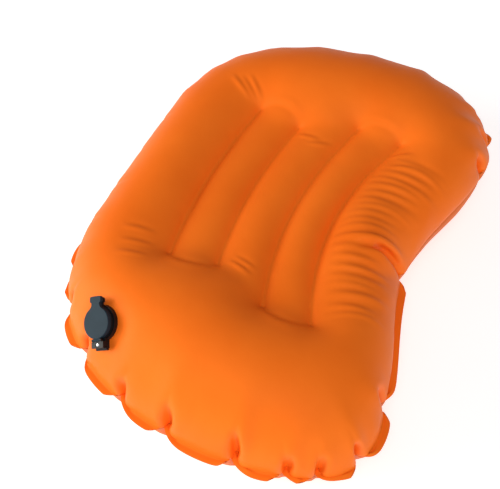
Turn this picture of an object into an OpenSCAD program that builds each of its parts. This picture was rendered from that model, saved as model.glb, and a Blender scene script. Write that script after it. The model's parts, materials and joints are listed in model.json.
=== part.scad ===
// Inflatable camp pillow: two welded coated-fabric panels, four internal baffles and a double-lid
// air valve. +X runs along the pillow, +Y to its rounded back, +Z up. The origin is the centre of
// the footprint, on the ground.

/* [Pillow] */
// Overall length, over the weld margin at both ends
pillow_length = 420; // [360:5:460]
// Overall depth, from the wing tips to the back edge
pillow_depth = 292; // [250:2:320]
// Height of the perimeter weld above the ground
seam_height = 52; // [48:1:56]
// Rise of the ridge over the two end lobes, before its ends round off
lobe_rise = 72; // [64:1:76]
// Rise of the back and front rolls above the weld, midway along
roll_rise = 51; // [44:1:56]
// Width of the flat weld margin round the edge
weld_margin = 6; // [4:0.5:9]
// Thickness of a coated-fabric panel
panel_wall = 0.5; // [0.4:0.1:1]

/* [Baffles] */
// Rise of the baffle tops above the weld, and their drop below it
baffle_rise = 39; // [32:1:42]
// Radius of the curve that the baffles follow, at the pillow's middle
baffle_bend = 350; // [300:10:450]
// Width of a baffle's welded foot
foot_width = 8; // [6:1:12]

/* [Valve] */
// Place of the valve: its bearing round the pillow, clockwise from the back
valve_bearing = 297; // [292:1:302]
// Place of the valve: share of the way from the middle to the edge
valve_reach = 0.86; // [0.82:0.01:0.88]
// Turn of the lids about the valve's axis
valve_spin = 140; // [120:1:170]
// Radius of the top lid
lid_radius = 12; // [11:0.1:12]
// Outer radius of the neck
neck_radius = 13.4; // [13:0.1:14]
// Radius of the neck's bore
neck_bore = 10.2; // [10.1:0.1:10.4]
// Radius of the air hole through the stopper
air_bore = 7; // [6.9:0.1:7.2]

/* [Hidden] */

orange = [0.93, 0.42, 0.09];
dark_orange = [0.80, 0.30, 0.07];
slate = [0.20, 0.24, 0.26];
black = [0.06, 0.06, 0.07];
silicone = [0.86, 0.87, 0.85];
zinc = [0.75, 0.76, 0.78];

// Outline: three harmonics of the bearing give the kidney shape, listed after an unused mean.
rim_x = [0, 0.970, 0.0175, -0.031] * pillow_length / 2;
rim_y = [0, 0.550, 0.085, -0.098] * pillow_depth;
function rim_raw(a) = [rim_x[1] * sin(a) + rim_x[2] * sin(2 * a) + rim_x[3] * sin(3 * a),
                       rim_y[1] * cos(a) + rim_y[2] * cos(2 * a) + rim_y[3] * cos(3 * a)];
outline_y = [for (a = [0:2:180]) rim_raw(a)[1]];
mid_y = (max(outline_y) + min(outline_y)) / 2;
middle = [0, 12];
function rim(a) = rim_raw(a) - [0, mid_y];
function along_ray(a, r) = middle + r * (rim(a) - middle);

// Crown of the inflated panels: full lobes at the ends, lower rolls at back and front, and a flat
// nest over the baffles.
weld_share = 1 - weld_margin / 140;
crown_power = 2.6;
lobe_x = 130;
nest_half_length = 104;
nest_back = 66;
nest_front = -61;
nest_fade = 34;
// Half width and rise that the wall is measured against when the outer skin is drawn in
half_girth = [140, 60];
function blend(t) = let(c = min(1, max(0, t))) c * c * (3 - 2 * c);
function bend_s(p) = atan2(p[0], p[1] + baffle_bend) * PI / 180 * baffle_bend;
function bend_v(p) = norm([p[0], p[1] + baffle_bend]) - baffle_bend;
function nest(p) = let(s = bend_s(p), v = bend_v(p))
    blend(1 - (abs(s) - nest_half_length) / nest_fade)
    * blend(1 - (v - nest_back) / nest_fade)
    * blend(1 - (nest_front - v) / nest_fade);
function crown(u) = sqrt(max(0, 1 - pow(u, crown_power)));
function ridge(x) = roll_rise + (lobe_rise - roll_rise) * pow(min(1, abs(x) / lobe_x), 2);
function rise(a, r) = let(p = along_ray(a, r), free = crown(r / weld_share) * ridge(p[0]), w = nest(p))
    r >= weld_share ? 0 : free * (1 - w) + min(free, baffle_rise) * w;

// Radial stations of the panels, from the middle to the weld, and the steps round them.
stations = [0.14, 0.28, 0.4, 0.49, 0.56, 0.63, 0.69, 0.75, 0.81, 0.86, 0.9, 0.93, 0.948, weld_share];
bearings = [0:6:359];
around = len([for (a = bearings) a]);

// One skin of a panel: the middle point, then a ring at each station and one at the edge. A skin
// that lies inside is the outer one drawn in by a panel's wall. side is 1 above the weld and -1
// below it.
function skin_point(a, r, side, inner) =
    let(p = along_ray(a, r), h = rise(a, r),
        pull = inner ? [1 - panel_wall / half_girth[0], 1 - panel_wall / half_girth[1]] : [1, 1],
        flat_z = inner ? 0 : panel_wall,
        q = middle + (r < 1 ? pull[0] : 1) * (p - middle),
        z = seam_height + side * (flat_z + h * pull[1]))
    [q[0], q[1], max(z, inner ? panel_wall : 0)];
function skin(side, inner) = concat([skin_point(0, 0, side, inner)],
    [for (r = concat(stations, [1])) for (a = bearings) skin_point(a, r, side, inner)]);
rings = len(stations) + 1;
skin_count = 1 + rings * around;
function at(base, ring, i) = base + 1 + ring * around + i % around;
function fan(base) = [for (i = [0:around - 1]) [base, at(base, 0, i), at(base, 0, i + 1)]];
function bands(base) = [for (k = [0:rings - 2]) for (i = [0:around - 1])
    for (f = [[at(base, k, i), at(base, k + 1, i), at(base, k + 1, i + 1)],
              [at(base, k, i), at(base, k + 1, i + 1), at(base, k, i + 1)]]) f];
function edge_band(from, to) = [for (i = [0:around - 1])
    for (f = [[at(from, rings - 1, i), at(to, rings - 1, i), at(to, rings - 1, i + 1)],
              [at(from, rings - 1, i), at(to, rings - 1, i + 1), at(from, rings - 1, i + 1)]]) f];
function flip(faces) = [for (f = faces) [f[2], f[1], f[0]]];

// A panel: outer skin, inner skin and the cut edge between them.
module panel(side) {
    outer = concat(fan(0), bands(0));
    inner = flip(concat(fan(skin_count), bands(skin_count)));
    shell = concat(outer, inner, edge_band(0, skin_count));
    polyhedron(concat(skin(side, false), skin(side, true)), side > 0 ? shell : flip(shell));
}

// Baffles: [distance behind the middle curve, half length], back to front.
baffles = [[60, 82], [20, 76], [-22, 97], [-58, 99]];
baffle_top = baffle_rise * (1 - panel_wall / half_girth[1]);
web_wall = 0.5;

// An I-shaped strip of fabric, on edge, along an arc of the bend curve.
module baffle(k) {
    radius = baffle_bend + baffles[k][0];
    half_angle = baffles[k][1] / baffle_bend * 180 / PI;
    color(dark_orange)
    translate([0, -baffle_bend, seam_height])
    rotate([0, 0, 90 - half_angle])
    rotate_extrude(angle = 2 * half_angle, $fn = 720)
    translate([radius, 0]) {
        square([web_wall, 2 * baffle_top - web_wall], center = true);
        for (end = [-1, 1])
            translate([0, end * (baffle_top - web_wall / 2)])
            square([foot_width, web_wall], center = true);
    }
}

// Valve: it stands square to the fabric. Heights are above the fabric along its axis, the pull
// tabs point along +Y and the hinges along -Y. A point of the side view is [y, z].
function top_at(a, r) = let(p = along_ray(a, r)) [p[0], p[1], seam_height + panel_wall + rise(a, r)];
valve_at = top_at(valve_bearing, valve_reach);
outward = top_at(valve_bearing, valve_reach + 0.01) - top_at(valve_bearing, valve_reach - 0.01);
sideways = top_at(valve_bearing - 2, valve_reach) - top_at(valve_bearing + 2, valve_reach);
square_on = cross(outward, sideways) / norm(cross(outward, sideways));
valve_tilt = acos(square_on[2]);
valve_heading = atan2(square_on[1], square_on[0]);
fine = 96;
small = 48;

flange_radius = 19;
flange_wall = 1;
flange_drop = [-0.8, -3.6];
neck_top = 3.6;
neck_foot = -3;

rim_radius = 12.2;
rim_top = 5.2;
barrel_radius = 9.6;
barrel_floor = -0.2;
seat_wall = 1.2;
spoke_width = 1.2;
hub_radius = 1.6;
seal_height = 1.7;
seal_wire = 0.55;

lid_floor = 5.4;
lid_top = 8.9;
lid_edge = 0.4;
skirt_radius = 6.6;
skirt_wall = 1.2;
skirt_floor = 3.8;
lid_groove = [7.9, 9.4];

tab_neck = 7.6;
tab_head = 10.2;
tab_shoulder = 14.6;
tab_end = 19.4;
tab_fillet = 3;
strap_width = 11.2;
strap_top = 8;
strap_reach = [-18.6, -13.9];
rivet_y = -16.2;

pin_play = 0.05;
cheek_wall = 1.2;
stopper_hinge = [-18.8, 2.6];
stopper_pin = 0.8;
stopper_knuckle = [1.5, 7.6];
lid_hinge = [-12.8, 8.2];
lid_pin = 0.5;
lid_knuckle = [0.95, 6.4];
flap_hinge = [-7, -0.7];
flap_pin = 0.4;
flap_radius = 8.2;
flap_wall = 0.6;
flap_neck = [6.8, -5.5];

module on_valve() {
    translate(valve_at)
    rotate([0, valve_tilt, valve_heading])
    rotate([0, 0, valve_spin])
    children();
}

// A round bar across the valve, centred on a point of the side view.
module cross_bar(point, radius, length) {
    translate([0, point[0], point[1]])
    rotate([0, 90, 0])
    cylinder(r = radius, h = length, center = true, $fn = small);
}

// A block across the valve: its width, then its extent along y and along z.
module block(width, y, z) {
    translate([-width / 2, y[0], z[0]])
    cube([width, y[1] - y[0], z[1] - z[0]]);
}

// A flat ring: inner and outer radius, and its extent along z.
module ring(inner, outer, z) {
    translate([0, 0, z[0]])
    difference() {
        cylinder(r = outer, h = z[1] - z[0], $fn = fine);
        translate([0, 0, -1]) cylinder(r = inner, h = z[1] - z[0] + 2, $fn = fine);
    }
}

// A flat plate with rounded corners: its width, and its extent along y.
module rounded(width, y, corner) {
    translate([-width / 2, y[0] + corner]) square([width, y[1] - y[0] - 2 * corner]);
    translate([-width / 2 + corner, y[0]]) square([width - 2 * corner, y[1] - y[0]]);
    for (side = [-1, 1])
        for (y_end = [y[0] + corner, y[1] - corner])
            translate([side * (width / 2 - corner), y_end]) circle(corner, $fn = small);
}

// The two hollow corners where an arm of a given width runs out of a disc along +Y.
module corner_fillets(width, disc, fillet) {
    x = width / 2 + fillet;
    y = sqrt(pow(disc + fillet, 2) - x * x);
    for (flip = [0, 1])
        mirror([flip, 0])
        difference() {
            polygon([[width / 2 - 1, y], [x, y], [x, y] * (disc - 0.5) / (disc + fillet),
                     [width / 2 - 1, disc * 0.8]]);
            translate([x, y]) circle(fillet, $fn = small);
        }
}

// A pull tab along +Y from a disc: a neck with hollow corners and a wider, rounded head.
module tab(disc, end, z) {
    translate([0, 0, z[0]])
    linear_extrude(z[1] - z[0])
    union() {
        translate([-tab_neck / 2, disc - 3]) square([tab_neck, tab_shoulder + 4 - disc]);
        rounded(tab_head, [tab_shoulder, end], 1.6);
        corner_fillets(tab_neck, disc, tab_fillet);
    }
}

// The fixed half of a hinge: two cheeks that reach along y from a block, and the pin between them.
module hinge_cheeks(point, knuckle, pin, y, z) {
    for (side = [-1, 1])
        translate([side * (knuckle[1] + cheek_wall + 4 * pin_play) / 2, 0, 0]) {
            block(cheek_wall, y, z);
            cross_bar(point, knuckle[0], cheek_wall);
        }
    cross_bar(point, pin, knuckle[1] + cheek_wall);
}

module top_panel() {
    color(orange)
    difference() {
        panel(1);
        on_valve() translate([0, 0, -12]) cylinder(r = neck_radius + 0.2, h = 24, $fn = fine);
    }
}

module bottom_panel() {
    color(dark_orange) panel(-1);
}

// The moulded neck, its dished weld flange inside the pillow, and the cheeks of the stopper's hinge.
module valve_base() {
    color(black) on_valve()
    union() {
        ring(neck_bore, neck_radius, [neck_foot, neck_top]);
        rotate_extrude($fn = fine)
        polygon([[neck_bore, flange_drop[0] - flange_wall], [neck_radius, flange_drop[0] - flange_wall],
                 [flange_radius, flange_drop[1] - flange_wall], [flange_radius, flange_drop[1]],
                 [neck_radius, flange_drop[0]], [neck_bore, flange_drop[0]]]);
        hinge_cheeks(stopper_hinge, stopper_knuckle, stopper_pin, [stopper_hinge[0], -11.6], [0.4, 3.4]);
    }
}

// The big lower lid: a rim and a barrel that plug the neck, a pull tab, a hinge arm and the seat
// of the flap.
module stopper() {
    color(black) on_valve()
    difference() {
        union() {
            translate([0, 0, neck_top]) cylinder(r = rim_radius, h = rim_top - neck_top, $fn = fine);
            translate([0, 0, barrel_floor])
            cylinder(r = barrel_radius, h = neck_top - barrel_floor + 0.1, $fn = fine);
            tab(rim_radius, tab_end - 0.8, [neck_top + 0.1, rim_top]);
            block(strap_width, [stopper_hinge[0] + 1.6, -9], [neck_top + 0.1, rim_top]);
            block(stopper_knuckle[1], [stopper_hinge[0], -9], [neck_top + 0.1, rim_top]);
            cross_bar(stopper_hinge, stopper_knuckle[0], stopper_knuckle[1]);
        }
        translate([0, 0, barrel_floor + seat_wall]) cylinder(r = air_bore, h = rim_top, $fn = fine);
        air_ways();
        cross_bar(stopper_hinge, stopper_pin + pin_play, strap_width);
        ring(barrel_radius - seal_wire, barrel_radius + 1,
             [seal_height - seal_wire, seal_height + seal_wire]);
    }
}

// The air ways through the flap's seat: a hole less a hub and three spokes.
module air_ways() {
    translate([0, 0, barrel_floor - 1])
    difference() {
        cylinder(r = skirt_radius - 0.2, h = seat_wall + 2, $fn = fine);
        translate([0, 0, -1]) cylinder(r = hub_radius, h = seat_wall + 4, $fn = small);
        for (turn = [30:120:270])
            rotate([0, 0, turn])
            translate([0, -spoke_width / 2, -1])
            cube([air_bore, spoke_width, seat_wall + 4]);
    }
}

// The ring in the barrel's groove, which seals it to the neck.
module stopper_seal() {
    color(silicone) on_valve()
    translate([0, 0, seal_height])
    rotate_extrude($fn = fine)
    translate([barrel_radius, 0]) circle(seal_wire, $fn = small);
}

// The fixed end of the lid's strap: a block on the stopper's hinge arm, with the cheeks of the lid's hinge.
module lid_strap() {
    color(slate) on_valve()
    difference() {
        union() {
            block(strap_width, strap_reach, [rim_top, strap_top]);
            hinge_cheeks(lid_hinge, lid_knuckle, lid_pin, [strap_reach[1] - 1, lid_hinge[0]],
                         [strap_top - 1.4, lid_hinge[1]]);
        }
        translate([0, rivet_y, rim_top - 1]) cylinder(r = 1.25, h = strap_top, $fn = small);
        translate([0, rivet_y, strap_top - 1.2]) cylinder(r = 1.75, h = strap_top, $fn = small);
    }
}

// The rivet that holds the strap down: a shank and a domed head in the counterbore.
module strap_rivet() {
    color(zinc) on_valve()
    translate([0, rivet_y, 0])
    rotate_extrude($fn = small)
    polygon([[0, rim_top], [1.2, rim_top], [1.2, strap_top - 1.15], [1.7, strap_top - 1.15],
             [1.7, strap_top - 0.6], [1.1, strap_top - 0.2], [0, strap_top]]);
}

// The one-way flap: a thin disc under its seat, hung on a rod at its back edge.
module check_flap() {
    color(silicone) on_valve()
    union() {
        intersection() {
            translate([0, 0, barrel_floor - 0.1 - flap_wall])
            cylinder(r = flap_radius, h = flap_wall, $fn = fine);
            union() {
                block(2 * flap_radius, [flap_neck[1], flap_radius], [-3, 0]);
                block(flap_neck[0], [flap_hinge[0], flap_neck[1] + 0.1], [-3, 0]);
            }
        }
        cross_bar(flap_hinge, flap_pin, 9);
    }
}

// The bracket under the seat that holds the ends of the flap's rod.
module flap_bracket() {
    color(black) on_valve()
    difference() {
        union() {
            for (side = [-1, 1])
                translate([side * 4.2, 0, 0])
                block(cheek_wall, [flap_hinge[0] - 0.9, flap_hinge[0] + 0.9], [-1.8, barrel_floor]);
            block(9, [flap_hinge[0] - 0.9, flap_hinge[0] - 0.2], [-1.8, -1.3]);
        }
        cross_bar(flap_hinge, flap_pin + pin_play, 12);
    }
}

// The small upper lid over the air hole: a disc with a broken edge, a skirt, a pull tab and a hinge arm.
module inflate_lid() {
    color(slate) on_valve()
    difference() {
        union() {
            rotate_extrude($fn = fine)
            polygon([[0, lid_floor], [lid_radius, lid_floor], [lid_radius, lid_top - lid_edge],
                     [lid_radius - lid_edge, lid_top], [0, lid_top]]);
            tab(lid_radius, tab_end, [lid_floor + 0.6, lid_top]);
            block(lid_knuckle[1], [lid_hinge[0], -8], [lid_hinge[1] - 0.9, lid_hinge[1] + 0.5]);
            cross_bar(lid_hinge, lid_knuckle[0], lid_knuckle[1]);
            ring(skirt_radius - skirt_wall, skirt_radius, [skirt_floor, lid_floor + 0.1]);
        }
        cross_bar(lid_hinge, lid_pin + pin_play, strap_width);
        ring(lid_groove[0], lid_groove[1], [rim_top, lid_floor + 0.8]);
    }
}

// The flat ring in the lid's groove, which seals it to the stopper's rim.
module lid_seal() {
    color(silicone) on_valve() ring(lid_groove[0], lid_groove[1], [rim_top + 0.05, lid_floor + 0.8]);
}

top_panel();
bottom_panel();
baffle(0);  // baffle_1
baffle(1);  // baffle_2
baffle(2);  // baffle_3
baffle(3);  // baffle_4
valve_base();
stopper();
stopper_seal();
lid_strap();
strap_rivet();
check_flap();
flap_bracket();
inflate_lid();
lid_seal();
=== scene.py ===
"""Camp pillow: a welded inflatable pillow with a double-lid valve.

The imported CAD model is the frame. The two fabric panels are blown up by a membrane simulation:
two flat panels that share a seam swell against the internal baffles, on three levels of ever finer
mesh. The finest creases are then drawn on the simulated cloth. Inside the simulation lengths are
millimetres and the seam lies at z = 0.
"""
import json
import math

import bmesh
import bpy
import numpy as np
from mathutils import Matrix, Vector
from mathutils.geometry import delaunay_2d_cdt


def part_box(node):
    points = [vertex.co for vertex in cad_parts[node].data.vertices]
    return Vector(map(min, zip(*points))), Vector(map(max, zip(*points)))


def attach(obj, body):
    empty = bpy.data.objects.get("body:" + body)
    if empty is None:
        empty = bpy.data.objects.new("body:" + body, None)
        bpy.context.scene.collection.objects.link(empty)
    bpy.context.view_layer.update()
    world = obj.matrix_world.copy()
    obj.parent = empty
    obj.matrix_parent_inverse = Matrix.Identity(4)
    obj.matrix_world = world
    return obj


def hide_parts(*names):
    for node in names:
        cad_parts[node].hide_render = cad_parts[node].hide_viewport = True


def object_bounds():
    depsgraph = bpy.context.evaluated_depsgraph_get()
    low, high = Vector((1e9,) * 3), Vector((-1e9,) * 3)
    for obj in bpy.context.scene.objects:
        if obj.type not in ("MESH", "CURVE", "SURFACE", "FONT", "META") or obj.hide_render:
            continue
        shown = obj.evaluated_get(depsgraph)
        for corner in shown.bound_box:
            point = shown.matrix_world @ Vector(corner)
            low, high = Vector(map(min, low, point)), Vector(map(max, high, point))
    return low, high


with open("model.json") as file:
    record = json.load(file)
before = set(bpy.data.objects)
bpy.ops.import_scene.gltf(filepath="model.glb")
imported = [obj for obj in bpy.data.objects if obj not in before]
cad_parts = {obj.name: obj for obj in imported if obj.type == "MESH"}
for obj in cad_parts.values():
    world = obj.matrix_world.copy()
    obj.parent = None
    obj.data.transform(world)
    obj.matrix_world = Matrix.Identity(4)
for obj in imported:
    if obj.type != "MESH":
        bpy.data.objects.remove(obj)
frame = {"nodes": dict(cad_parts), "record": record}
cad_low, cad_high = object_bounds()

MM = 0.001
TURN = 2 * math.pi

# Height of the seam over the floor: it lies where the frame's two panels meet
seam_z = (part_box("top_panel")[0].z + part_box("bottom_panel")[1].z) / 2 / MM

# Outline of the blown-up pillow, out to the edge of the weld margin, as harmonics of the bearing,
# which runs clockwise from the middle of the back edge
OUTLINE_X = (204.6, 3.7, -6.5)
OUTLINE_Y = (-14.7, 162.4, 25.0, -28.9)
# Seam line of the flat panels, cut larger than the blown-up outline
FLAT_X = (221.4, 8.8, -14.8, 1.4)
FLAT_Y = (-15.3, 187.7, 25.7, -30.2, -0.6)
# The corner of the valve's lobe stands out further in both: by what share, at which bearing in
# degrees, and over how many radians that fades
CORNER, CORNER_BEARING, CORNER_SPREAD = 0.03, 238, 0.3
# The weld draws the cloth beside it out longer: how much at the seam, and how far in that fades
RUFFLE, RUFFLE_REACH = 0.08, 30.0
WELD_MARGIN = 6.0
# Gap between the margin's two plies, which closes at the rim
PLY_GAP = 0.6
# Bearings, in degrees, of the puckers where the curved seam gathers its spare length
PUCKERS = (1, 13, 26, 36, 47, 59, 72, 83, 95, 106, 116, 127, 139, 182, 218, 235, 248, 255, 265,
           278, 288, 301, 314, 324, 337, 349)
# A pucker's half width, how pointed it is, and its least and greatest depth
PUCKER_WIDTH, PUCKER_POWER, PUCKER_DEPTHS = 2.2, 1.25, (0.5, 11)
# How far the seam bows out between two puckers, and how far apart they must be for all of it
SCALLOP_BOW, SCALLOP_GAP = 1.2, 30

# Baffles: arcs about one centre in front of the pillow, as distance from the middle arc and half
# length, and the height that they hold the panels to
BAFFLE_RADIUS = 351.6
BAFFLES = ((60.0, 82.0), (20.0, 76.0), (-22.0, 97.0), (-58.5, 99.0))
BAFFLE_HEIGHT = 73.0

# Spacing of the cloth's points on the coarsest level
STEP = 7.0
# Forces, in the simulation's own units: on the cloth's area, on cloth that is stretched, on a
# baffle that is longer than its height, on the weld margin towards the seam's level, and on the
# fabric over the valve's flange
PRESSURE = 1.2e-4
STRETCH, BAFFLE_PULL, LEVEL_PULL, SEAT_PULL = 0.3, 0.3, 0.02, 0.2
# How firmly a weld resists being pushed together, as a share of stretching, and being bent
WELD_FIRMNESS, WELD_BEND = 0.6, 0.05
# The furthest that a point moves at once, as a share of the points' spacing
SPEED_LIMIT = 0.4
# The pressure's direction is worked out anew at every so many moves
PUSH_EVERY = 4

# The row of creases down the front roll: its ends and pitch along the baffles' middle arc, and
# how far the creases lean at places along it
FRONT_ROW, FRONT_PITCH = (-114, 96), 11.0
FRONT_LEAN = ((-110, -45, -25, 90), (-11, 6, 36, 26))
# Between what each crease of the row varies: shift along the row, distance of its two ends from
# the middle arc, height, half width and bow
FRONT_SHIFT, FRONT_START, FRONT_END = (-2, 2), (-68, -62), (-128, -112)
FRONT_HEIGHT, FRONT_WIDTH, FRONT_BOW = (0.8, 1.5), (2.3, 3.2), (0, 5)
# How much the grooves over the baffles are deepened, and how fast that fades to the sides
GROOVE_DEPTH, GROOVE_FADE = 1.6, 3.5
# The folds that run in from the puckers: between what their reach, the shift of their inner ends
# along the seam and their depth vary, and their half width at the seam and how much it grows
FOLD_REACH, FOLD_SHIFT, FOLD_DEPTH = (34, 52), (-4, 4), (2.6, 3.8)
FOLD_WIDTH, FOLD_WIDENING = 1.9, 1.6
# Other creases on the top panel, drawn on the flat cloth: start, end, height, half width, bow
CREASES = (
    # the long one that runs into the notch of the front edge
    ((-30, -78), (4, -148), -4.5, 3.4, 4.0),
    # round the near and far ends of the two rolls that baffles close on both sides
    ((-75, 8), (-81, 56), -0.9, 4.0, 11.0),
    ((-96, -80), (-94, -31), -0.9, 4.0, 11.0),
    ((82, 55), (76, 9), -0.7, 3.6, 9.0),
    ((95, -32), (97, -79), -0.7, 3.6, 9.0),
    # near and far ends of the roll between them
    ((-71, 8), (-80, -18), 1.2, 2.2),
    ((-67, 6), (-73, -19), 0.9, 2.0),
    ((68, 12), (68, -14), 0.8, 2.0),
    ((60, -2), (70, -26), 0.8, 2.0),
    # fans at the far ends of the back and front baffles
    ((103, 90), (84, 62), 1.2, 2.2),
    ((104, 82), (86, 58), 1.2, 2.2),
    ((108, 75), (87, 52), 0.9, 2.2),
    ((78, -70), (91, -93), 0.9, 2.0),
    ((67, -77), (75, -96), 0.7, 2.0),
    # near end of the back roll
    ((-85, 96), (-76, 68), 0.9, 2.4),
    ((-98, 91), (-87, 62), 0.9, 2.4),
    ((-109, 88), (-101, 59), 0.7, 2.4),
)


def arc_length(points):
    """Distance along a closed loop to each point, and once round at the end."""
    ring = np.vstack([points, points[:1]])
    return np.concatenate([[0], np.cumsum(np.hypot(*np.diff(ring, axis=0).T))])


def harmonics(bearing, across, along):
    """Points of an outline whose x is a sum of sines and y a sum of cosines of the bearing. The
    corner of the valve's lobe stands out a little further."""
    x = sum(c * np.sin((k + 1) * bearing) for k, c in enumerate(across))
    y = sum(c * np.cos(k * bearing) for k, c in enumerate(along))
    corner = 1 + CORNER * np.exp(-((bearing - math.radians(CORNER_BEARING)) / CORNER_SPREAD) ** 2)
    return np.stack([x, y], -1) * corner[:, None]


def loop_normals(points):
    """Outward normals of a clockwise loop."""
    along = np.roll(points, -1, 0) - np.roll(points, 1, 0)
    normal = np.stack([-along[:, 1], along[:, 0]], -1)
    return normal / np.linalg.norm(normal, axis=1)[:, None]


class Seam:
    """The finished seam: the outline less the weld margin, puckered so that its length is the
    flat panel's seam length."""
    SAMPLES = 14400
    # how far the spare length is shared out evenly, rather than to where it arises, and at random
    EVEN, JITTER = 0.5, 0.25
    # how far to each side of a pucker the length that it takes up is measured, and how much of
    # the gap to the next pucker that may be
    REACH, REACH_SHARE = 8, 0.45

    def __init__(self):
        bearing = np.linspace(0, TURN, self.SAMPLES + 1)[:-1]
        smooth = harmonics(bearing, OUTLINE_X, OUTLINE_Y)
        smooth = smooth - loop_normals(smooth) * WELD_MARGIN
        normal = loop_normals(smooth)
        along = arc_length(smooth)
        flat = arc_length(harmonics(bearing, FLAT_X, FLAT_Y))
        around, self.length = along[-1], flat[-1] * (1 + RUFFLE)
        # each pucker takes the spare length that arises nearer to it than to its neighbours
        spare = np.maximum(np.diff(flat) / np.diff(along), 1) - 1
        spare = np.concatenate([[0], np.cumsum(spare * np.diff(along))])
        at = np.interp(np.radians(PUCKERS), bearing, along[:-1])
        gap = (np.roll(at, -1) - at) % around
        middle = at + gap / 2
        cell = (middle - np.roll(middle, 1)) % around
        own = (np.interp(middle % around, along, spare)
               - np.interp((middle - cell) % around, along, spare)) % spare[-1]
        share = (1 - self.EVEN) * own / own.sum() + self.EVEN * cell / around
        share *= 1 + self.JITTER * np.random.default_rng(3).uniform(-1, 1, len(share))
        need = (self.length - around) * share / share.sum()
        # between puckers the seam bows out
        where = along[:-1]
        last = (np.searchsorted(at, where, side="right") - 1) % len(at)
        part = ((where - at[last]) % around) / gap[last]
        bow = SCALLOP_BOW * 4 * part * (1 - part) * np.minimum(1, gap[last] / SCALLOP_GAP)
        away = np.abs((where[:, None] - at + around / 2) % around - around / 2)
        shape = np.exp(-(away / PUCKER_WIDTH) ** PUCKER_POWER)
        # the depths are corrected until each pucker takes its share, then all of them together
        depth = need * 0.6
        for _ in range(12):
            self.curve = smooth + normal * (bow - shape @ depth)[:, None]
            self.along = arc_length(self.curve)
            reach = np.minimum(self.REACH, self.REACH_SHARE * np.stack([np.roll(gap, 1), gap]))
            ends = np.interp(((at + reach[1]) % around, (at - reach[0]) % around), along, self.along)
            taken = (ends[0] - ends[1]) % self.along[-1] - reach.sum(0)
            change = np.clip(need / np.maximum(taken, 0.3), 0.5, 2) ** 0.8
            depth = np.clip(depth * change, *PUCKER_DEPTHS)
        for _ in range(20):
            self.curve = smooth + normal * (bow - shape @ depth)[:, None]
            self.along = arc_length(self.curve)
            depth *= 1 + 0.7 * (self.length - self.along[-1]) / (self.length - around)
        # where the puckers lie, as shares of the seam's length
        self.puckers = np.interp(at, where, self.along[:-1]) / self.along[-1]

    def places(self, skin, blur):
        """Where each of a skin's seam points belongs, as the mean over a stretch of the curve."""
        along = arc_length(skin.flat[skin.seam])
        along = along[:-1] / along[-1] * self.along[-1]
        ring = np.vstack([self.curve, self.curve[:1]])
        taps = 9
        offsets = (np.arange(taps) + 0.5) / taps - 0.5
        x = (along + offsets[:, None] * blur) % self.along[-1]
        mean = [np.interp(x, self.along, ring[:, axis]).mean(0) for axis in (0, 1)]
        return np.stack(mean, -1).astype(np.float32)


def inside(points, loop):
    """Which points lie inside a closed loop."""
    x, y = points.T
    within = np.zeros(len(points), bool)
    for (x0, y0), (x1, y1) in zip(loop, np.roll(loop, -1, 0)):
        within ^= ((y0 > y) != (y1 > y)) & (x < (x1 - x0) * (y - y0) / (y1 - y0 + 1e-12) + x0)
    return within


def distance(points, others, batch=64):
    """Distance from each point to the nearest of the others."""
    best = np.full(len(points), np.inf)
    for k in range(0, len(others), batch):
        gap = points[:, None] - others[None, k:k + batch]
        best = np.minimum(best, np.hypot(gap[..., 0], gap[..., 1]).min(1))
    return best


def flat_panel():
    """Triangles of the flat panel: seam points first, the baffle lines' points kept as edges."""
    # height of a row of triangles, as a share of their side, beside the seam and elsewhere
    seam_row, lattice_row = 0.87, 0.866
    # room left to the rows beside the seam and to the baffles, as a share of the spacing
    seam_room, baffle_room = 0.62, 0.6
    # rows and columns to each side of the middle, enough to reach past the seam
    reach = 60
    bearing = np.linspace(0, TURN, 4001)
    line = harmonics(bearing, FLAT_X, FLAT_Y)
    along = np.concatenate([[0], np.cumsum(np.hypot(*np.diff(line, axis=0).T))])
    count = 2 * round(along[-1] / STEP / 2)
    step = along[-1] / count
    seam = harmonics(np.interp(np.arange(count) * step, along, bearing), FLAT_X, FLAT_Y)
    row = step * seam_row
    normal = loop_normals(seam)
    rows = [seam, seam - normal * row, seam - normal * 2 * row]
    lines = []
    for offset, half in BAFFLES:
        radius = BAFFLE_RADIUS + offset
        angle = np.linspace(-half, half, round(2 * half / STEP) + 1) / radius
        lines.append(np.stack([radius * np.sin(angle), radius * np.cos(angle) - BAFFLE_RADIUS], -1))
    j, i = np.mgrid[-reach:reach + 1, -reach:reach + 1]
    lattice = np.stack([(i + 0.5 * (j % 2)) * STEP, j * STEP * lattice_row], -1).reshape(-1, 2)
    lattice = lattice[inside(lattice, rows[2])]
    lattice = lattice[distance(lattice, rows[2]) > seam_room * STEP]
    lattice = lattice[distance(lattice, np.concatenate(lines)) > baffle_room * STEP]
    points = np.concatenate(rows + lines + [lattice])
    edges, runs, first = [], [], 3 * count
    for run in lines:
        runs.append(np.arange(first, first + len(run)))
        edges += [(int(k), int(k) + 1) for k in runs[-1][:-1]]
        first += len(run)
    only_inside, tolerance = 1, 1e-6
    made = delaunay_2d_cdt([tuple(p) for p in points], edges, [list(range(count))], only_inside,
                           tolerance)
    new_faces, new_sources = made[2], made[3]
    back = np.array([sources[0] for sources in new_sources])
    triangles = back[np.array(new_faces)]
    a, b, c = (points[triangles[:, k]] for k in range(3))
    turned = np.cross(b - a, c - a) < 0
    triangles[turned] = triangles[turned][:, ::-1]
    return points, triangles, count, runs, seam + normal * WELD_MARGIN, step


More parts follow.
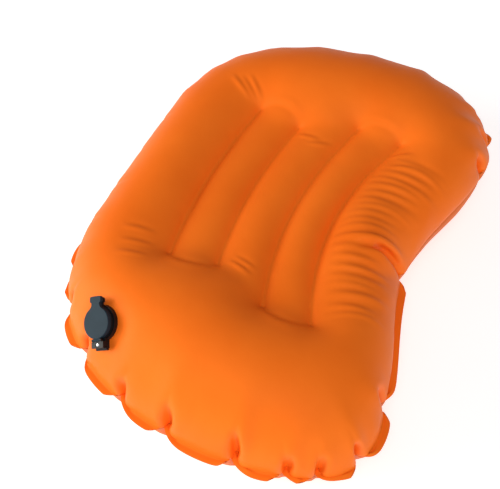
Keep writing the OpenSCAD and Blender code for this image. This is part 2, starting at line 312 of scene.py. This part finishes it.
class Skin:
    """Top and bottom panels that share the seam, and the weld margin outside it."""

    def __init__(self):
        points, triangles, count, runs, edge, self.step = flat_panel()
        inner = len(points) - count
        upper = np.arange(len(points))
        upper[count:] += count
        lower = upper.copy()
        lower[count:] += inner
        self.flat = np.concatenate([points[:count], edge, points[count:], points[count:]])
        self.flat = self.flat.astype(np.float32)
        self.top = upper[triangles]
        self.bottom = lower[triangles][:, ::-1]
        self.seam = np.arange(count)
        self.rim = self.seam + count
        after = np.roll(self.seam, -1)
        self.margin = np.concatenate([np.stack([self.seam, after, after + count], -1),
                                      np.stack([self.seam, after + count, self.rim], -1)])
        self.baffles = [(upper[run], lower[run]) for run in runs]

    def rest_lengths(self, table):
        """Length of the cloth from each point to its neighbours, with the ruffle along the seam."""
        seam = self.flat[self.seam]
        normal = loop_normals(seam)
        away = np.empty(len(self.flat), np.float32)
        nearest = np.empty(len(self.flat), int)
        batch = 4096
        for k in range(0, len(away), batch):
            gap = self.flat[k:k + batch, None] - seam
            square = np.einsum("nsx,nsx->ns", gap, gap)
            nearest[k:k + batch] = square.argmin(1)
            away[k:k + batch] = np.sqrt(square.min(1))
        grain = np.stack([normal[nearest, 1], -normal[nearest, 0]], -1)
        ruffle = RUFFLE * np.exp(-away / RUFFLE_REACH)
        span = self.flat[table] - self.flat[:, None]
        along = np.einsum("nkx,nx->nk", span, grain)
        extra = (ruffle[table] + ruffle[:, None]) / 2
        square = np.einsum("nkx,nkx->nk", span, span) + (2 * extra + extra ** 2) * along ** 2
        return np.sqrt(square).astype(np.float32)

    def refine(self, *fields):
        """Splits every triangle in four and returns the fields carried over to the new points."""
        # an edge's key holds the numbers of its two points
        bits = 24
        sheets = (self.top, self.bottom, self.margin)
        triangles = np.concatenate(sheets)
        edges = np.sort(np.concatenate([triangles[:, [0, 1]], triangles[:, [1, 2]],
                                        triangles[:, [2, 0]]]), axis=1).astype(np.int64)
        keys, which = np.unique(edges[:, 0] << bits | edges[:, 1], return_inverse=True)
        start, end = keys >> bits, keys & ((1 << bits) - 1)
        middle = (len(self.flat) + which).reshape(3, -1)
        cut = np.cumsum([0] + [len(sheet) for sheet in sheets])
        halves = dict(zip(keys.tolist(), range(len(self.flat), len(self.flat) + len(keys))))

        def split(first, last):
            a, b, c = triangles[first:last].T
            ab, bc, ca = middle[:, first:last]
            return np.stack([a, ab, ca, ab, b, bc, ca, bc, c, ab, bc, ca], -1).reshape(-1, 3)

        def denser(run, closed):
            ahead = np.roll(run, -1) if closed else run[1:]
            pairs = zip(np.minimum(run[:len(ahead)], ahead), np.maximum(run[:len(ahead)], ahead))
            between = [halves[int(low) << bits | int(high)] for low, high in pairs]
            woven = np.stack([run[:len(ahead)], between], -1).reshape(-1)
            return woven if closed else np.append(woven, run[-1])

        self.top, self.bottom, self.margin = (split(*cut[k:k + 2]) for k in range(3))
        self.seam, self.rim = denser(self.seam, True), denser(self.rim, True)
        self.baffles = [(denser(t, False), denser(b, False)) for t, b in self.baffles]
        self.flat = np.concatenate([self.flat, (self.flat[start] + self.flat[end]) / 2])
        self.step /= 2
        return [np.concatenate([f, (f[start] + f[end]) / 2]) for f in fields]


def neighbour_table(triangles, size):
    """Each point's neighbours in rows of equal length, padded with the point itself."""
    edges = np.sort(np.concatenate([triangles[:, [0, 1]], triangles[:, [1, 2]],
                                    triangles[:, [2, 0]]]), axis=1)
    edges = np.unique(edges, axis=0)
    source = np.concatenate([edges[:, 0], edges[:, 1]])
    target = np.concatenate([edges[:, 1], edges[:, 0]])
    order = np.argsort(source, kind="stable")
    source, target = source[order], target[order]
    count = np.bincount(source, minlength=size)
    column = np.arange(len(source)) - np.concatenate([[0], np.cumsum(count)[:-1]])[source]
    table = np.tile(np.arange(size)[:, None], (1, count.max()))
    table[source, column] = target
    real = np.zeros(table.shape, np.float32)
    real[source, column] = 1
    return table, real, count


def inflate(skin, place, speed, steps, hold, bend, slack=0.03, damp=0.98, seat=None):
    """Moves the skin towards rest under pressure. Hold is (where the seam points belong, how
    firmly), bend is how firmly the cloth resists bending, slack how firmly it resists being
    pushed together, as a share of stretching, and damp is the speed kept from move to move."""
    size = len(place)
    panels = np.concatenate([skin.top, skin.bottom])
    table, real, count = neighbour_table(np.concatenate([panels, skin.margin]), size)
    share = (1 / np.maximum(count, 1)).astype(np.float32)[:, None]
    rest = skin.rest_lengths(table) + (1 - real)
    margin = np.unique(skin.margin)
    give = np.full(table.shape, slack, np.float32)
    for run in [margin] + [side for pair in skin.baffles for side in pair]:
        firm = np.zeros(size, bool)
        firm[run] = True
        give[firm[table] & firm[:, None]] = WELD_FIRMNESS
    bending = np.full((size, 1), bend, np.float32)
    bending[margin] = WELD_BEND
    upper = np.concatenate([t for t, _ in skin.baffles])
    lower = np.concatenate([b for _, b in skin.baffles])
    push = np.zeros_like(place)
    for k in range(steps):
        if k % PUSH_EVERY == 0:
            a, b, c = (place[panels[:, n]] for n in range(3))
            area = np.cross(b - a, c - a) / 6 * PRESSURE
            for axis in range(3):
                push[:, axis] = np.bincount(panels.reshape(-1), np.repeat(area[:, axis], 3), size)
        span = place[table] - place[:, None]
        length = np.sqrt(np.einsum("nkx,nkx->nk", span, span)) + 1e-6
        strain = 1 - rest / length
        pull = STRETCH * real * strain * np.where(strain > 0, 1, give)
        force = np.einsum("nk,nkx->nx", pull, span)
        sag = np.einsum("nk,nkx->nx", real, span) * share
        force -= bending * (np.einsum("nk,nkx->nx", real, sag[table]) * share - sag)
        force[margin, 2] -= LEVEL_PULL * place[margin, 2]
        force[skin.seam, :2] += hold[1] * (hold[0] - place[skin.seam, :2])
        force += push
        tie = place[upper] - place[lower]
        height = np.linalg.norm(tie, axis=1) + 1e-6
        tie *= (np.maximum(0, height - BAFFLE_HEIGHT) / height * BAFFLE_PULL)[:, None]
        force[upper] -= tie
        force[lower] += tie
        if seat is not None:
            seat(place, force)
        speed = (speed + force) * damp
        quick = np.linalg.norm(speed, axis=1)
        speed *= np.minimum(1, SPEED_LIMIT * skin.step / np.maximum(quick, 1e-9))[:, None]
        place = place + speed
        place[:, 2] -= place[skin.seam, 2].mean()
        # the floor holds it up
        low = place[:, 2] < -seam_z
        place[low, 2] = -seam_z
        speed[low, 2] = 0
    return place, speed


class Valve:
    """The valve's own axes, worked out from its two hinges, and its sizes in millimetres."""
    # radius of the neck, and of the flange that the fabric lies on
    NECK = 13.4
    FLANGE = 19.0
    # the stopper's and the lid's hinge lines, across the valve and above the fabric
    STOPPER_HINGE = (-18.8, 2.6)
    LID_HINGE = (-12.8, 8.2)

    def __init__(self):
        joints = {j["name"]: j for j in frame["record"]["behaviour"]["joints"]}
        first, second = joints["stopper_swing"], joints["lid_swing"]
        start, end = np.array(first["pos_m"]) / MM, np.array(second["pos_m"]) / MM
        dy, dz = np.subtract(self.LID_HINGE, self.STOPPER_HINGE)
        self.x = np.array(first["axis"])
        gap = end - start
        gap -= self.x * (gap @ self.x)
        self.y = dy * gap - dz * np.cross(self.x, gap)
        self.y /= np.linalg.norm(self.y)
        self.z = np.cross(self.x, self.y)
        y, z = self.STOPPER_HINGE
        self.centre = start - self.y * y - self.z * z
        # in the simulation the seam is at z = 0
        self.local = self.centre - (0, 0, seam_z)

    def coordinates(self, place):
        """Distance from the valve's axis and height above its flange of simulated points."""
        gap = place - self.local.astype(np.float32)
        height = gap @ self.z.astype(np.float32)
        across = gap - height[:, None] * self.z.astype(np.float32)
        return np.linalg.norm(across, axis=1), height


class Seat:
    """Draws the fabric round the valve flat onto the valve's flange."""
    # fabric further than this above or below the flange is another part of the pillow
    NEAR = 25

    def __init__(self, valve, skin, place):
        radius, height = valve.coordinates(place)
        near = np.zeros(len(place), bool)
        near[np.unique(skin.top)] = True
        self.points = np.flatnonzero(near & (radius < valve.FLANGE) & (np.abs(height) < self.NEAR))
        self.valve = valve

    def __call__(self, place, force):
        height = self.valve.coordinates(place[self.points])[1]
        force[self.points] -= SEAT_PULL * height[:, None] * self.valve.z.astype(np.float32)


def blow_up(seam, valve):
    """The whole simulation, from flat panels to the finished skin."""
    skin = Skin()
    rng = np.random.default_rng(7)
    place = np.zeros((len(skin.flat), 3), np.float32)
    place[:, :2] = skin.flat
    # the panels start flat, a little apart, so that the pressure has a side to push to
    apart = 2
    place[np.setdiff1d(skin.top, skin.seam), 2] = apart
    place[np.setdiff1d(skin.bottom, skin.seam), 2] = -apart
    speed = np.zeros_like(place)
    place, speed = inflate(skin, place, speed, steps=700, hold=(seam.places(skin, blur=10), 0.1),
                           bend=0.006)
    place, speed = inflate(skin, place, speed, steps=100, hold=(seam.places(skin, blur=8), 0.2),
                           bend=0.006, damp=0.95)
    # on each finer level a little noise lets the cloth fold where it will
    place, speed = skin.refine(place, speed)
    place += rng.normal(0, 0.15, place.shape).astype(np.float32)
    place, speed = inflate(skin, place, speed / 2, steps=500,
                           hold=(seam.places(skin, blur=3.5), 0.2), bend=0.008, slack=0.05,
                           damp=0.97, seat=Seat(valve, skin, place))
    place, speed = skin.refine(place, speed)
    place += rng.normal(0, 0.05, place.shape).astype(np.float32)
    place, speed = inflate(skin, place, speed / 2, steps=300,
                           hold=(seam.places(skin, blur=1.7), 0.2), bend=0.03, slack=0.05,
                           damp=0.96, seat=Seat(valve, skin, place))
    return skin, place


def point_normals(place, triangles):
    """Outward unit normals at the points of one panel, zero elsewhere."""
    a, b, c = (place[triangles[:, k]] for k in range(3))
    facing = np.cross(b - a, c - a)
    normal = np.zeros_like(place)
    for k in range(3):
        for axis in range(3):
            normal[:, axis] += np.bincount(triangles[:, k], facing[:, axis], len(place))
    return normal / np.maximum(np.linalg.norm(normal, axis=1), 1e-9)[:, None]


def fold(flat, start, end, height, width, bow=0.0):
    """Height of a crease drawn on the flat cloth from start to end: a rounded ridge with a shallow
    valley beside it. A negative height makes it a valley with a ridge beside it."""
    # how fast it fades to its ends, and the valley's depth and place as shares of the ridge's
    taper, valley, valley_away = 1.3, 0.5, 1.8
    run = np.subtract(end, start)
    length = np.hypot(*run)
    run = run / length
    gap = flat - np.asarray(start)
    along = gap @ run / length
    beside = (gap @ np.array((-run[1], run[0])) - 4 * bow * along * (1 - along)) / width
    fade = np.sin(math.pi * np.clip(along, 0, 1)) ** taper
    return height * fade * (np.exp(-beside ** 2) - valley * np.exp(-(beside - valley_away) ** 2))


def arc_point(along, offset):
    """A point of the flat cloth in the baffles' own coordinates."""
    radius = BAFFLE_RADIUS + offset
    angle = along / BAFFLE_RADIUS
    return radius * math.sin(angle), radius * math.cos(angle) - BAFFLE_RADIUS


def front_row(flat, rng):
    """Height of the row of creases down the front roll, which lean to the notch in the front edge."""
    rise = np.zeros(len(flat))
    for along in np.arange(*FRONT_ROW, FRONT_PITCH):
        along += rng.uniform(*FRONT_SHIFT)
        lean = np.interp(along, *FRONT_LEAN)
        start = arc_point(along, rng.uniform(*FRONT_START))
        end = arc_point(along + lean, rng.uniform(*FRONT_END))
        rise += fold(flat, start, end, rng.uniform(*FRONT_HEIGHT), rng.uniform(*FRONT_WIDTH),
                     rng.uniform(*FRONT_BOW))
    return rise


def grooves(flat):
    """Depth that makes the grooves over the baffles sharp at the bottom."""
    radius = np.hypot(flat[:, 0], flat[:, 1] + BAFFLE_RADIUS)
    angle = np.arctan2(flat[:, 0], flat[:, 1] + BAFFLE_RADIUS)
    depth = np.zeros(len(flat))
    for offset, half in BAFFLES:
        beyond = np.maximum(0, np.abs(angle) * radius - half)
        away = np.hypot(radius - BAFFLE_RADIUS - offset, beyond)
        depth += GROOVE_DEPTH * np.exp(-away / GROOVE_FADE)
    return depth


def pucker_folds(flat, line, puckers, rng):
    """Depth of the folds that run into the cloth from the puckers of the seam line."""
    normal = loop_normals(line)
    where = arc_length(line)
    # share of the way over which a fold sets in, how fast it ends, and how pointed it is across
    onset, taper, power = 0.25, 1.2, 1.3
    depth = np.zeros(len(flat))
    for part in puckers:
        k = np.searchsorted(where, part * where[-1]) % len(line)
        reach = rng.uniform(*FOLD_REACH)
        tangent = normal[k][::-1] * (-1, 1)
        tip = line[k] - normal[k] * reach + tangent * rng.uniform(*FOLD_SHIFT)
        run = (tip - line[k]) / reach
        gap = flat - line[k]
        along = gap @ run / reach
        beside = gap @ np.array((-run[1], run[0]))
        beside = np.abs(beside) / (FOLD_WIDTH + FOLD_WIDENING * np.clip(along, 0, 1))
        fade = np.clip(along / onset, 0, 1) * np.clip(1 - along, 0, 1) ** taper
        depth += fade * rng.uniform(*FOLD_DEPTH) * np.exp(-beside ** power)
    return depth


def wrinkle(seam, skin, place):
    """Adds the creases too fine for the simulation's cloth, along the cloth's own normals."""
    rng = np.random.default_rng(11)
    upper, lower = (point_normals(place, panel) for panel in (skin.top, skin.bottom))
    flat = skin.flat.astype(float)
    rise = front_row(flat, rng) - grooves(flat) + sum(fold(flat, *crease) for crease in CREASES)
    depth = pucker_folds(flat, flat[skin.seam], seam.puckers, rng)
    place = place + upper * rise[:, None].astype(np.float32)
    return place - (upper + lower) * depth[:, None].astype(np.float32)


def skin_piece(name, skin, place, triangles, side):
    """One panel with its own ply of the weld margin, as a Blender object."""
    margin = skin.margin if side > 0 else skin.margin[:, ::-1]
    faces = np.concatenate([triangles, margin])
    used = np.unique(faces)
    index = np.zeros(len(place), int)
    index[used] = np.arange(len(used))
    points = place.astype(float).copy()
    ply = np.zeros(len(points))
    ply[np.unique(skin.margin)] = PLY_GAP / 2 * side
    ply[skin.rim] = 0
    points[:, 2] += ply + seam_z
    points[:, 2] = np.maximum(points[:, 2], 0)
    mesh = bpy.data.meshes.new(name)
    mesh.from_pydata((points[used] * MM).tolist(), [], index[faces].tolist())
    mesh.polygons.foreach_set("use_smooth", [True] * len(faces))
    mesh.polygons.foreach_set("material_index", [0] * len(triangles) + [1] * len(margin))
    cloth = mesh.attributes.new("cloth", "FLOAT_VECTOR", "POINT")
    flat = np.zeros((len(used), 3), np.float32)
    flat[:, :2] = skin.flat[used] * MM
    cloth.data.foreach_set("vector", flat.reshape(-1))
    mesh.update()
    piece = bpy.data.objects.new(name, mesh)
    bpy.context.scene.collection.objects.link(piece)
    return piece


def baffle_piece(number, skin, place):
    """A baffle: a web between the two panels, with a foot welded to each, lofted along its line."""
    upper, lower = (place[run].astype(float) for run in skin.baffles[number - 1])
    along = np.gradient(upper[:, :2], axis=0)
    along /= np.linalg.norm(along, axis=1)[:, None]
    across = np.stack([-along[:, 1], along[:, 0], np.zeros(len(along))], -1)
    up = np.array([0, 0, 1.0])
    # half thickness of the web, half width of a foot, and a panel's or a foot's thickness
    half_web, half_foot, ply = 0.25, 4.0, 0.5
    # one side of a foot, from its outer edge in to the web: distance across, and from the panel
    foot = ((half_foot, ply), (half_foot, 2 * ply), (half_web, 2 * ply))
    ring = [upper + across * x - up * z for x, z in foot]
    ring += [lower + across * x + up * z for x, z in foot[::-1]]
    ring += [lower - across * x + up * z for x, z in foot]
    ring += [upper - across * x - up * z for x, z in foot[::-1]]
    sides, stations = len(ring), len(upper)
    points = np.stack(ring, 1).reshape(-1, 3) + (0, 0, seam_z)
    faces = [(k * sides + i, k * sides + (i + 1) % sides, (k + 1) * sides + (i + 1) % sides,
              (k + 1) * sides + i) for k in range(stations - 1) for i in range(sides)]
    faces += [tuple(range(sides))[::-1], tuple(range((stations - 1) * sides, stations * sides))]
    mesh = bpy.data.meshes.new(f"baffle_web_{number}")
    mesh.from_pydata((points * MM).tolist(), [], faces)
    mesh.update()
    piece = bpy.data.objects.new(mesh.name, mesh)
    bpy.context.scene.collection.objects.link(piece)
    return piece


def cut_hole(piece, valve):
    """Draws a ring of the top panel's points in to the valve's neck, and returns the numbers of
    the faces inside it."""
    # height within which the panel is the one at the valve, how far the hole stays inside the
    # neck's radius, and how far the ring stands off it
    near, overlap, clearance = 8, 0.4, 0.05
    mesh = piece.data
    points = np.empty(len(mesh.vertices) * 3)
    mesh.vertices.foreach_get("co", points)
    points = points.reshape(-1, 3)
    gap = points / MM - valve.centre
    height = gap @ valve.z
    across = gap - height[:, None] * valve.z
    radius = np.linalg.norm(across, axis=1)
    faces = np.array([f.vertices[:] for f in mesh.polygons])
    hole = ((np.abs(height) < near) & (radius < valve.NECK - overlap))[faces].any(1)
    rim = np.intersect1d(np.unique(faces[hole]), np.unique(faces[~hole]))
    points[rim] = (valve.centre + across[rim] * ((valve.NECK + clearance) / radius[rim])[:, None]
                   + height[rim][:, None] * valve.z) * MM
    mesh.vertices.foreach_set("co", points.reshape(-1))
    return np.flatnonzero(hole)


def drop_faces(piece, doomed):
    """Deletes the faces by number, with the points and edges only they used."""
    work = bmesh.new()
    work.from_mesh(piece.data)
    work.faces.ensure_lookup_table()
    bmesh.ops.delete(work, geom=[work.faces[int(k)] for k in doomed], context="FACES")
    work.to_mesh(piece.data)
    work.free()


# ---------- materials ----------

def new_material(name, colour, roughness, **settings):
    """A Principled material. The keyword settings go on the shader's own sockets."""
    material = bpy.data.materials.new(name)
    material.use_nodes = True
    shader = material.node_tree.nodes["Principled BSDF"]
    shader.inputs["Base Color"].default_value = (*colour, 1)
    shader.inputs["Roughness"].default_value = roughness
    for key, value in settings.items():
        shader.inputs[key.replace("_", " ").title().replace("Ior", "IOR")].default_value = value
    return material, material.node_tree, shader


def link(tree, source, target):
    """Joins two sockets."""
    tree.links.new(source, target)


def noise(tree, vector, scale, detail):
    """Noise over the given coordinates, with so many spots to the metre."""
    node = tree.nodes.new("ShaderNodeTexNoise")
    node.inputs["Scale"].default_value = scale
    node.inputs["Detail"].default_value = detail
    link(tree, vector, node.inputs["Vector"])
    return node.outputs["Fac"]


def bump(tree, height, distance_mm, strength, normal=None):
    """The surface's normal with a height drawn on it, on top of an earlier one if it is given."""
    node = tree.nodes.new("ShaderNodeBump")
    node.inputs["Distance"].default_value = distance_mm * MM
    node.inputs["Strength"].default_value = strength
    link(tree, height, node.inputs["Height"])
    if normal is not None:
        link(tree, normal, node.inputs["Normal"])
    return node.outputs["Normal"]


def vary(tree, factor, dark, light):
    """A colour that moves between two across the middle of the factor's range."""
    node = tree.nodes.new("ShaderNodeValToRGB")
    for stop, at, colour in zip(node.color_ramp.elements, (0.35, 0.65), (dark, light)):
        stop.position = at
        stop.color = (*colour, 1)
    link(tree, factor, node.inputs["Fac"])
    return node.outputs["Color"]


def position(tree):
    """Coordinates in the piece's own axes."""
    return tree.nodes.new("ShaderNodeTexCoord").outputs["Object"]


# Width of the fabrics' threads, and a wave texture's phase in radians per metre at scale 1
THREAD, WAVE_PHASE = 0.45, 20
# How glossy the coated fabrics are, and the warm tint of their gloss
FABRIC_GLOSS, FABRIC_TINT = 0.18, (1, 0.66, 0.3, 1)


def fabric(name, dark, light, roughness):
    """Plain-woven polyester with a smooth coating: threads follow the flat panel's own grain."""
    material, tree, shader = new_material(name, light, roughness, specular_ior_level=FABRIC_GLOSS,
                                          specular_tint=FABRIC_TINT)
    grain = tree.nodes.new("ShaderNodeAttribute")
    grain.attribute_name = "cloth"
    cloth = grain.outputs["Vector"]
    threads = []
    for axis in ("X", "Y"):
        wave = tree.nodes.new("ShaderNodeTexWave")
        wave.bands_direction = axis
        # one wave spans two threads, one that passes over and one under
        wave.inputs["Scale"].default_value = TURN / (2 * THREAD * MM) / WAVE_PHASE
        wave.inputs["Distortion"].default_value = 0.4
        wave.inputs["Detail"].default_value = 1
        link(tree, cloth, wave.inputs["Vector"])
        threads.append(wave.outputs["Fac"])
    weave = tree.nodes.new("ShaderNodeMath")
    weave.operation = "MULTIPLY"
    link(tree, threads[0], weave.inputs[0])
    link(tree, threads[1], weave.inputs[1])
    shade = noise(tree, cloth, scale=14, detail=3)
    link(tree, vary(tree, shade, dark, light), shader.inputs["Base Color"])
    unevenness = noise(tree, cloth, scale=90, detail=2)
    surface = bump(tree, unevenness, distance_mm=0.6, strength=0.25)
    surface = bump(tree, weave.outputs["Value"], distance_mm=0.05, strength=0.5, normal=surface)
    link(tree, surface, shader.inputs["Normal"])
    return material


def surface_of(tree, shader, dark, light, patches, detail, grain, depth_mm, strength):
    """Colour that varies in patches, and a fine grain: how close together the patches are, how
    detailed, and how close, deep and strong the grain is."""
    where = position(tree)
    colour = vary(tree, noise(tree, where, patches, detail), dark, light)
    link(tree, colour, shader.inputs["Base Color"])
    link(tree, bump(tree, noise(tree, where, grain, 2), depth_mm, strength),
         shader.inputs["Normal"])


def moulded(name, dark, light, roughness, gloss):
    """Injection-moulded plastic: a fine spark-eroded grain and faint handling marks."""
    material, tree, shader = new_material(name, light, roughness, specular_ior_level=gloss)
    surface_of(tree, shader, dark, light, patches=60, detail=4, grain=2600, depth_mm=0.05,
               strength=0.3)
    return material


def silicone(name):
    material, tree, shader = new_material(name, (0.78, 0.79, 0.77), 0.5, subsurface_weight=0.2)
    depth = 2 * MM
    shader.inputs["Subsurface Radius"].default_value = (depth, depth, depth)
    surface_of(tree, shader, (0.66, 0.67, 0.65), (0.80, 0.81, 0.79), patches=120, detail=3,
               grain=900, depth_mm=0.05, strength=0.2)
    return material


def brushed_metal(name):
    material, tree, shader = new_material(name, (0.70, 0.71, 0.73), 0.3, metallic=1.0)
    surface_of(tree, shader, (0.30, 0.31, 0.33), (0.46, 0.47, 0.49), patches=500, detail=3,
               grain=3000, depth_mm=0.03, strength=0.3)
    return material


def use(piece, *materials):
    """Gives a piece its materials, in the order of its faces' material numbers."""
    piece.data.materials.clear()
    for material in materials:
        piece.data.materials.append(material)


def use_on_node(name, material):
    """Puts a better material into the slots of a CAD node that stays."""
    for slot in frame["nodes"][name].material_slots:
        slot.material = material


# ---------- stage, lights and camera ----------

# The camera stands off from the pillow's middle at the seam. Its distance is in metres, its sensor
# and lens are in millimetres, and its shifts are shares of the picture's width.
AIM = Vector((0, 0, seam_z * MM))
CAMERA_AZIMUTH, CAMERA_ELEVATION = math.radians(-65.267), math.radians(53.914)
CAMERA_DISTANCE = 0.75816
SENSOR_WIDTH, LENS = 36, 64.18584
SHIFT_X, SHIFT_Y = -0.0509, -0.04128

# Half the floor's width, its gap under the pillow, how much it glows, and how bright the sky is
FLOOR_HALF, FLOOR_GAP, FLOOR_GLOW = 6.0, 0.3 * MM, 0.45
SKY_STRENGTH = 0.22


def camera_axes():
    """Unit vectors to the picture's right and top, and back to the camera."""
    a, e = CAMERA_AZIMUTH, CAMERA_ELEVATION
    back = Vector((math.sin(a) * math.cos(e), -math.cos(a) * math.cos(e), math.sin(e)))
    right = Vector((math.cos(a), math.sin(a), 0))
    return right, back.cross(right), back


def make_camera():
    right, up, back = camera_axes()
    data = bpy.data.cameras.new("camera")
    data.sensor_width, data.lens = SENSOR_WIDTH, LENS
    data.shift_x, data.shift_y = SHIFT_X, SHIFT_Y
    data.clip_start, data.clip_end = 0.01, 50
    camera = bpy.data.objects.new("camera", data)
    turn = Matrix((right, up, back)).transposed().to_4x4()
    camera.matrix_world = Matrix.Translation(AIM + back * CAMERA_DISTANCE) @ turn
    bpy.context.scene.collection.objects.link(camera)
    bpy.context.scene.camera = camera


def soft_light(name, sideways, upwards, towards, size, power, colour=(1, 1, 1)):
    """A square light, metres away from the pillow in the camera's own directions, turned to it."""
    right, up, back = camera_axes()
    data = bpy.data.lights.new(name, "AREA")
    data.size, data.energy, data.color = size, power, colour
    lamp = bpy.data.objects.new(name, data)
    away = right * sideways + up * upwards + back * towards
    lamp.location = AIM + away
    lamp.rotation_mode = "QUATERNION"
    lamp.rotation_quaternion = away.to_track_quat("Z", "Y")
    bpy.context.scene.collection.objects.link(lamp)


def make_floor():
    """A white sheet of paper, lit a little from within so that it stays white under the lights."""
    material, tree, shader = new_material("floor_paper", (0.93, 0.93, 0.93), 0.9)
    shade = noise(tree, position(tree), scale=4, detail=3)
    link(tree, vary(tree, shade, (0.92, 0.92, 0.92), (0.94, 0.94, 0.94)),
         shader.inputs["Base Color"])
    shader.inputs["Emission Color"].default_value = (1, 1, 1, 1)
    shader.inputs["Emission Strength"].default_value = FLOOR_GLOW
    mesh = bpy.data.meshes.new("floor")
    corners = [(x * FLOOR_HALF, y * FLOOR_HALF, 0) for x, y in ((-1, -1), (1, -1), (1, 1), (-1, 1))]
    mesh.from_pydata(corners, [], [(0, 1, 2, 3)])
    mesh.materials.append(material)
    floor = bpy.data.objects.new("floor", mesh)
    floor.location.z = cad_low.z - FLOOR_GAP
    bpy.context.scene.collection.objects.link(floor)


def make_sky():
    world = bpy.data.worlds.new("studio")
    world.use_nodes = True
    world.node_tree.nodes["Background"].inputs["Color"].default_value = (1, 1, 1, 1)
    world.node_tree.nodes["Background"].inputs["Strength"].default_value = SKY_STRENGTH
    bpy.context.scene.world = world
    bpy.context.scene.view_settings.view_transform = "Standard"


make_camera()
make_floor()
make_sky()
soft_light("key", sideways=-1.8, upwards=0.2, towards=0.5, size=1.3, power=34,
           colour=(1, 0.96, 0.88))
soft_light("front", sideways=0.2, upwards=0.2, towards=2.8, size=1.6, power=32)
soft_light("low", sideways=0.3, upwards=-1.2, towards=1.3, size=1.2, power=7)

top_cloth = fabric("orange_top_cloth", dark=(0.92, 0.160, 0.010), light=(0.96, 0.181, 0.013),
                   roughness=0.5)
bottom_cloth = fabric("orange_bottom_cloth", dark=(0.70, 0.125, 0.011), light=(0.78, 0.15, 0.014),
                      roughness=0.5)
margin_cloth = fabric("welded_edge", dark=(0.62, 0.036, 0.006), light=(0.72, 0.054, 0.008),
                      roughness=0.5)
baffle_cloth = fabric("baffle_cloth", dark=(0.60, 0.10, 0.01), light=(0.68, 0.12, 0.012),
                      roughness=0.6)
black_plastic = moulded("black_plastic", dark=(0.006, 0.006, 0.007), light=(0.010, 0.010, 0.012),
                        roughness=0.4, gloss=0.2)
slate_plastic = moulded("slate_plastic", dark=(0.008, 0.022, 0.034), light=(0.012, 0.030, 0.045),
                        roughness=0.5, gloss=0.12)
clear_silicone = silicone("silicone")
rivet_metal = brushed_metal("rivet_metal")

seam, valve = Seam(), Valve()
skin, place = blow_up(seam, valve)
place = wrinkle(seam, skin, place)
top_fabric = skin_piece("top_fabric", skin, place, skin.top, 1)
drop_faces(top_fabric, cut_hole(top_fabric, valve))
bottom_fabric = skin_piece("bottom_fabric", skin, place, skin.bottom, -1)
use(top_fabric, top_cloth, margin_cloth)
use(bottom_fabric, bottom_cloth, margin_cloth)

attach(top_fabric, "pillow")
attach(bottom_fabric, "pillow")
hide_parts("top_panel")
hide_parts("bottom_panel")

for number in range(1, len(BAFFLES) + 1):
    web = baffle_piece(number, skin, place)
    use(web, baffle_cloth)
    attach(web, "pillow")
    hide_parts(f"baffle_{number}")
for name in ("valve_base", "stopper", "lid_strap", "flap_bracket"):
    use_on_node(name, black_plastic)
use_on_node("inflate_lid", slate_plastic)
for name in ("stopper_seal", "lid_seal", "check_flap"):
    use_on_node(name, clear_silicone)
use_on_node("strap_rivet", rivet_metal)
